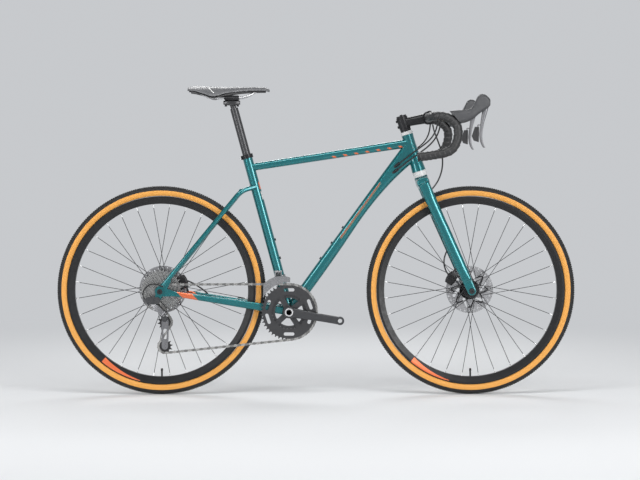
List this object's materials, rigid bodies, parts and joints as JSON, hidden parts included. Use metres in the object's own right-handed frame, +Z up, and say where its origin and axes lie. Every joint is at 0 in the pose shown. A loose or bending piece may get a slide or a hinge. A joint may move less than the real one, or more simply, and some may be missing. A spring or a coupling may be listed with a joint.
{
  "type": "gravel bike",
  "caption": "Drop-bar gravel bicycle with disc brakes, spoked wheels with tan-wall tyres, double chainset, chain, rear and front derailleurs, seatpost, saddle and steering fork.",
  "frame": {"origin": "on the ground, midway between the two axles, in the centre plane", "axes": "+X forward, +Y to the rider's left, +Z up; the drive side is at -Y"},
  "size_m": [1.7418, 0.5106, 1.0371],
  "materials": {
    "frame_paint": "gloss metallic paint",
    "black_anodised": "satin black",
    "ring_white": "satin white",
    "bare_steel": "brushed",
    "drive_silver": "plated",
    "crank_grey": "satin dark grey",
    "derailleur_grey": "satin dark grey",
    "pulley_plastic": "matte",
    "rim_black": "satin black",
    "tyre_rubber": "matte tread with tan sidewall",
    "grip_rubber": "matte",
    "lever_grey": "satin grey",
    "control_plastic": "matte",
    "pad_compound": "sintered",
    "saddle_skin": "semi-gloss synthetic leather",
    "saddle_base": "matte",
    "hose_black": "smooth"
  },
  "bodies": {
    "frame": {"main_frame": "frame_paint", "rear_triangle": "frame_paint", "seat_clamp": "black_anodised", "headset_cups": "ring_white", "headset_bearings": "bare_steel", "bottom_bracket_cups": "black_anodised", "frame_fittings": "black_anodised", "rear_thru_axle": "bare_steel", "rear_caliper": "black_anodised", "front_derailleur_body": "drive_silver", "derailleur_b_knuckle": "derailleur_grey", "cables": "hose_black", "chain": "drive_silver"},
    "seat": {"seatpost": "black_anodised", "saddle_clamp": "black_anodised", "saddle_rails": "bare_steel", "saddle_shell": "saddle_base", "saddle_cover": "saddle_skin"},
    "steering": {"fork": "frame_paint", "headset_spacers": "black_anodised", "stem": "black_anodised", "stem_faceplate": "black_anodised", "handlebar": "black_anodised", "bar_tape": "grip_rubber", "lever_brackets": "control_plastic", "lever_hoods": "grip_rubber", "front_thru_axle": "bare_steel", "front_caliper": "black_anodised", "front_brake_hose": "hose_black"},
    "front_wheel": {"front_tyre": "tyre_rubber", "front_rim": "rim_black", "front_spokes": "bare_steel", "front_hub": "black_anodised", "front_rotor": "bare_steel"},
    "rear_wheel": {"rear_tyre": "tyre_rubber", "rear_rim": "rim_black", "rear_spokes": "bare_steel", "rear_hub": "black_anodised", "rear_rotor": "bare_steel"},
    "cassette": {"cassette": "drive_silver"},
    "crank": {"crank_right": "crank_grey", "crank_left": "crank_grey", "chainring_outer": "crank_grey", "chainring_inner": "crank_grey"},
    "lever_right": {"brake_lever_right": "lever_grey"},
    "lever_left": {"brake_lever_left": "lever_grey"},
    "paddle_right": {"shift_lever_right": "control_plastic"},
    "paddle_left": {"shift_lever_left": "control_plastic"},
    "front_pad_inner": {"front_pad_inner": "pad_compound"},
    "front_pad_outer": {"front_pad_outer": "pad_compound"},
    "rear_pad_inner": {"rear_pad_inner": "pad_compound"},
    "rear_pad_outer": {"rear_pad_outer": "pad_compound"},
    "rd_outer_link": {"derailleur_outer_link": "derailleur_grey"},
    "rd_inner_link": {"derailleur_inner_link": "derailleur_grey"},
    "rd_knuckle": {"derailleur_p_knuckle": "derailleur_grey"},
    "rd_cage": {"derailleur_cage": "derailleur_grey"},
    "guide_pulley": {"guide_pulley": "pulley_plastic"},
    "tension_pulley": {"tension_pulley": "pulley_plastic"},
    "fd_link": {"front_derailleur_link": "drive_silver"},
    "fd_cage": {"front_derailleur_cage": "drive_silver"}
  },
  "joints": [
    {"name": "steering", "type": "hinge", "parent": "frame", "child": "steering", "pos_m": [0.34563, 0, 0.75173], "axis": [-0.309, 0, 0.9511], "range_deg": [-70, 70], "deforming": ["cables"]},
    {"name": "seat_height", "type": "slide", "parent": "frame", "child": "seat", "axis": [-0.2622, 0, 0.965], "range_m": [-0.1, 0.05]},
    {"name": "front_wheel_spin", "type": "hinge", "parent": "steering", "child": "front_wheel", "pos_m": [0.52, 0, 0.351], "axis": [0, 1, 0], "continuous": true},
    {"name": "rear_wheel_spin", "type": "hinge", "parent": "frame", "child": "rear_wheel", "pos_m": [-0.52, 0, 0.351], "axis": [0, 1, 0], "continuous": true},
    {"name": "crank_spin", "type": "hinge", "parent": "frame", "child": "crank", "pos_m": [-0.09067, 0, 0.281], "axis": [0, 1, 0], "continuous": true, "deforming": ["chain"]},
    {"name": "cassette_spin", "type": "hinge", "parent": "frame", "child": "cassette", "pos_m": [-0.52, 0, 0.351], "axis": [0, 1, 0], "continuous": true},
    {"name": "rear_shift", "type": "hinge", "parent": "frame", "child": "rd_outer_link", "pos_m": [-0.552, -0.078, 0.317], "axis": [0.6727, 0, 0.7399], "range_deg": [0, 36]},
    {"name": "rear_shift_inner", "type": "hinge", "parent": "frame", "child": "rd_inner_link", "pos_m": [-0.552, -0.066, 0.317], "axis": [0.6727, 0, 0.7399], "range_deg": [0, 36.5]},
    {"name": "rear_shift_level", "type": "hinge", "parent": "rd_outer_link", "child": "rd_knuckle", "pos_m": [-0.508, -0.09, 0.277], "axis": [0.6727, 0, 0.7399], "range_deg": [-36.5, 0]},
    {"name": "cage_swing", "type": "hinge", "parent": "rd_knuckle", "child": "rd_cage", "pos_m": [-0.5035, -0.0625, 0.26], "axis": [0, 1, 0], "range_deg": [-40, 35], "stiffness_Nm_per_rad": 1.5},
    {"name": "guide_pulley_spin", "type": "hinge", "parent": "rd_cage", "child": "guide_pulley", "pos_m": [-0.50367, -0.0625, 0.248], "axis": [0, 1, 0], "continuous": true},
    {"name": "tension_pulley_spin", "type": "hinge", "parent": "rd_cage", "child": "tension_pulley", "pos_m": [-0.50484, -0.0625, 0.16741], "axis": [0, 1, 0], "continuous": true},
    {"name": "front_shift", "type": "hinge", "parent": "frame", "child": "fd_link", "pos_m": [-0.12667, -0.0275, 0.394], "axis": [-1, 0, 0], "range_deg": [0, 18]},
    {"name": "front_shift_level", "type": "hinge", "parent": "fd_link", "child": "fd_cage", "pos_m": [-0.12667, -0.04561, 0.41535], "axis": [-1, 0, 0], "range_deg": [-18.5, 0]},
    {"name": "brake_lever_right", "type": "hinge", "parent": "steering", "child": "lever_right", "pos_m": [0.55144, -0.215, 0.96886], "axis": [0, 1, 0], "range_deg": [0, 18], "stiffness_Nm_per_rad": 2},
    {"name": "brake_lever_left", "type": "hinge", "parent": "steering", "child": "lever_left", "pos_m": [0.55144, 0.215, 0.96886], "axis": [0, 1, 0], "range_deg": [0, 18], "stiffness_Nm_per_rad": 2},
    {"name": "shift_lever_right", "type": "hinge", "parent": "lever_right", "child": "paddle_right", "pos_m": [0.52474, -0.215, 0.87486], "axis": [0, 0, -1], "range_deg": [0, 20], "stiffness_Nm_per_rad": 0.5},
    {"name": "shift_lever_left", "type": "hinge", "parent": "lever_left", "child": "paddle_left", "pos_m": [0.52474, 0.215, 0.87486], "axis": [0, 0, 1], "range_deg": [0, 20], "stiffness_Nm_per_rad": 0.5},
    {"name": "front_pad_inner_travel", "type": "slide", "parent": "steering", "child": "front_pad_inner", "axis": [0, 1, 0], "range_m": [0, 0.0005]},
    {"name": "front_pad_outer_travel", "type": "slide", "parent": "steering", "child": "front_pad_outer", "axis": [0, -1, 0], "range_m": [0, 0.0005]},
    {"name": "rear_pad_inner_travel", "type": "slide", "parent": "frame", "child": "rear_pad_inner", "axis": [0, 1, 0], "range_m": [0, 0.0005]},
    {"name": "rear_pad_outer_travel", "type": "slide", "parent": "frame", "child": "rear_pad_outer", "axis": [0, -1, 0], "range_m": [0, 0.0005]}
  ],
  "couplings": [
    {"joint": "cassette_spin", "follows": "crank_spin", "ratio": 4.1818},
    {"joint": "guide_pulley_spin", "follows": "crank_spin", "ratio": -4.1818},
    {"joint": "tension_pulley_spin", "follows": "crank_spin", "ratio": 4.1818},
    {"joint": "rear_shift_inner", "follows": "rear_shift", "ratio": 1},
    {"joint": "rear_shift_level", "follows": "rear_shift", "ratio": -1},
    {"joint": "front_shift_level", "follows": "front_shift", "ratio": -1},
    {"joint": "front_pad_inner_travel", "follows": "brake_lever_left", "m_per_rad": 0.0012732},
    {"joint": "front_pad_outer_travel", "follows": "brake_lever_left", "m_per_rad": 0.0012732},
    {"joint": "rear_pad_inner_travel", "follows": "brake_lever_right", "m_per_rad": 0.0012732},
    {"joint": "rear_pad_outer_travel", "follows": "brake_lever_right", "m_per_rad": 0.0012732}
  ]
}
